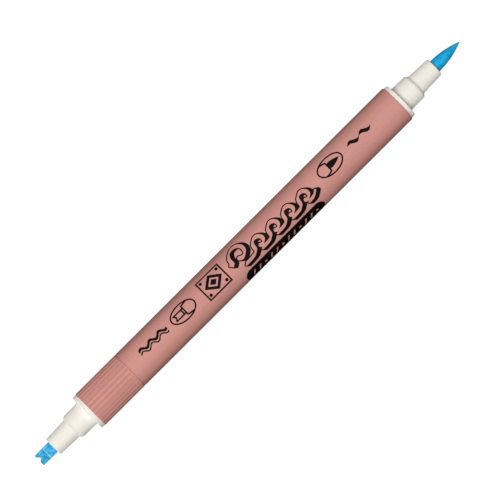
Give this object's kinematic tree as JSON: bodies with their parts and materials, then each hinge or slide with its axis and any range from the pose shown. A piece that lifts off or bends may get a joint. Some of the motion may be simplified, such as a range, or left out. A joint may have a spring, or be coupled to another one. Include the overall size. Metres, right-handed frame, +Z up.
{
  "type": "calligraphy marker",
  "caption": "Slim uncapped double-ended marker: a smooth barrel with a grooved end plug, a pointed brush nib at one end and a flat notched scroll nib at the other.",
  "frame": {"origin": "on the surface the marker rests on, under the middle of its length", "axes": "+X along the pen from the scroll nib to the brush nib, +Z up towards the printed side, +Y towards the narrow tooth of the scroll nib"},
  "size_m": [0.1456, 0.0104, 0.0105],
  "materials": {
    "barrel_plastic": "fine satin, dusty pink",
    "holder_plastic": "smooth, cream white",
    "brush_fibre": "fine bonded fibre soaked with blue ink",
    "scroll_fibre": "firm bonded fibre soaked with blue ink",
    "reservoir_fibre": "bonded fibre bundle",
    "clear_film": "thin clear wrap"
  },
  "bodies": {
    "barrel": {"barrel": "barrel_plastic", "reservoir": "reservoir_fibre", "reservoir_film": "clear_film"},
    "end_plug": {"end_plug": "barrel_plastic"},
    "scroll_holder": {"scroll_holder": "holder_plastic"},
    "scroll_nib": {"scroll_nib": "scroll_fibre"},
    "brush_holder": {"brush_holder": "holder_plastic"},
    "brush_nib": {"brush_nib": "brush_fibre"}
  },
  "joints": [
    {"name": "end_plug_pull", "type": "slide", "parent": "barrel", "child": "end_plug", "axis": [-1, 0, 0], "range_m": [0, 0.012]},
    {"name": "scroll_holder_pull", "type": "slide", "parent": "end_plug", "child": "scroll_holder", "axis": [-1, 0, 0], "range_m": [0, 0.018]},
    {"name": "scroll_nib_pull", "type": "slide", "parent": "scroll_holder", "child": "scroll_nib", "axis": [-1, 0, 0], "range_m": [0, 0.031]},
    {"name": "brush_holder_pull", "type": "slide", "parent": "barrel", "child": "brush_holder", "axis": [1, 0, 0], "range_m": [0, 0.018]},
    {"name": "brush_nib_pull", "type": "slide", "parent": "brush_holder", "child": "brush_nib", "axis": [1, 0, 0], "range_m": [0, 0.031]}
  ]
}
